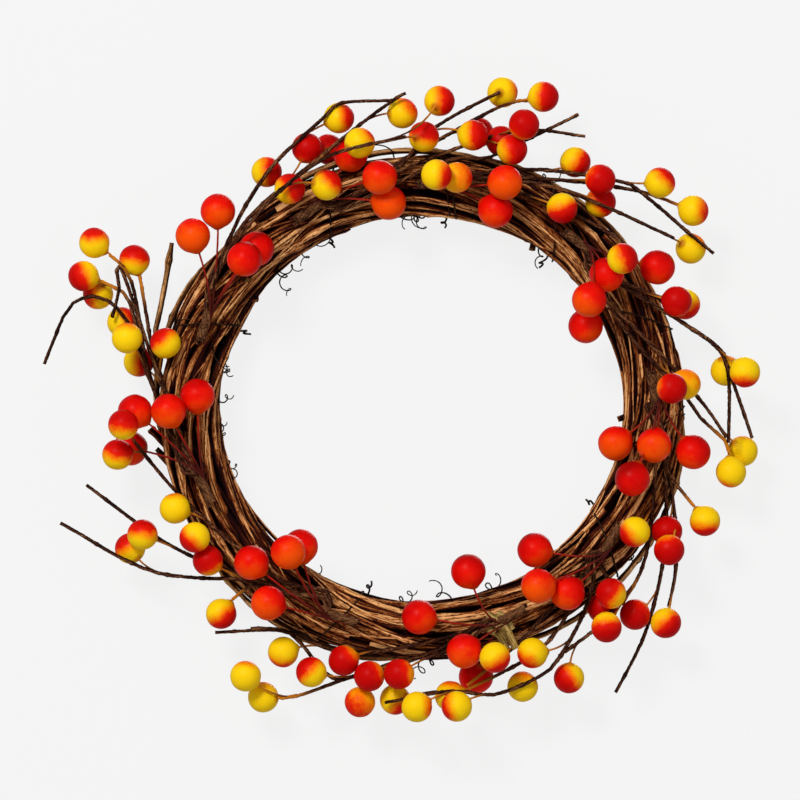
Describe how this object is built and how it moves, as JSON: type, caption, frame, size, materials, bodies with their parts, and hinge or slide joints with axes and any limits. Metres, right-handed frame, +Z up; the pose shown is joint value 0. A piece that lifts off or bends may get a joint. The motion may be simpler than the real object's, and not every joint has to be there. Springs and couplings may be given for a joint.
{
  "type": "harvest door wreath",
  "caption": "Oval grapevine wreath with wired-on picks of bare twigs, yellow-and-red two-tone berries and larger red berries, for hanging flat on a door.",
  "frame": {"origin": "inside the top of the ring of canes, midway through its depth, where a door hook or nail carries it", "axes": "+X across the wreath to the right as seen from the room, +Z up, -Y towards the room, +Y towards the door"},
  "size_m": [0.4223, 0.0816, 0.3794],
  "materials": {
    "bark": "rough vine bark, tan ridges over dark brown",
    "loose_bark": "rough vine bark, paler and drier",
    "tie_wire": "paper-wrapped wire and dried tendrils, dark brown",
    "two_tone_berry": "satin paint sprayed yellow with a red blush, on brown paper-wrapped twigs",
    "red_berry": "satin paint, red to orange, on red wires",
    "floral_tape": "brown waxed floral tape"
  },
  "bodies": {
    "root": {"vine_cane_01": "bark", "vine_cane_02": "bark", "vine_cane_03": "bark", "vine_cane_04": "bark", "vine_cane_05": "bark", "vine_cane_06": "bark", "vine_cane_07": "bark", "vine_cane_08": "bark", "vine_cane_09": "bark", "vine_cane_10": "bark", "vine_cane_11": "bark", "vine_cane_12": "bark", "vine_cane_13": "bark", "vine_cane_14": "bark", "vine_cane_15": "bark", "vine_cane_16": "bark", "vine_cane_17": "bark", "vine_cane_18": "bark", "vine_cane_19": "bark", "loose_cane_1": "loose_bark", "loose_cane_2": "loose_bark", "loose_cane_3": "loose_bark", "loose_cane_4": "loose_bark", "loose_cane_5": "loose_bark", "tie_wire_1": "tie_wire", "tie_wire_2": "tie_wire", "tie_wire_3": "tie_wire", "tie_wire_4": "tie_wire", "tie_wire_5": "tie_wire", "tie_wire_6": "tie_wire", "tie_wire_7": "tie_wire", "tie_wire_8": "tie_wire", "left_two_tone_spray": "two_tone_berry", "left_red_spray": "red_berry", "left_tape": "floral_tape", "upper_left_two_tone_spray": "two_tone_berry", "upper_left_red_spray": "red_berry", "upper_left_tape": "floral_tape", "top_two_tone_spray": "two_tone_berry", "top_red_spray": "red_berry", "top_tape": "floral_tape", "top_right_two_tone_spray": "two_tone_berry", "top_right_red_spray": "red_berry", "top_right_tape": "floral_tape", "upper_right_two_tone_spray": "two_tone_berry", "upper_right_red_spray": "red_berry", "upper_right_tape": "floral_tape", "right_two_tone_spray": "two_tone_berry", "right_red_spray": "red_berry", "right_tape": "floral_tape", "lower_right_two_tone_spray": "two_tone_berry", "lower_right_red_spray": "red_berry", "lower_right_tape": "floral_tape", "bottom_two_tone_spray": "two_tone_berry", "bottom_red_spray": "red_berry", "bottom_tape": "floral_tape", "lower_left_two_tone_spray": "two_tone_berry", "lower_left_red_spray": "red_berry", "lower_left_tape": "floral_tape"}
  },
  "joints": []
}
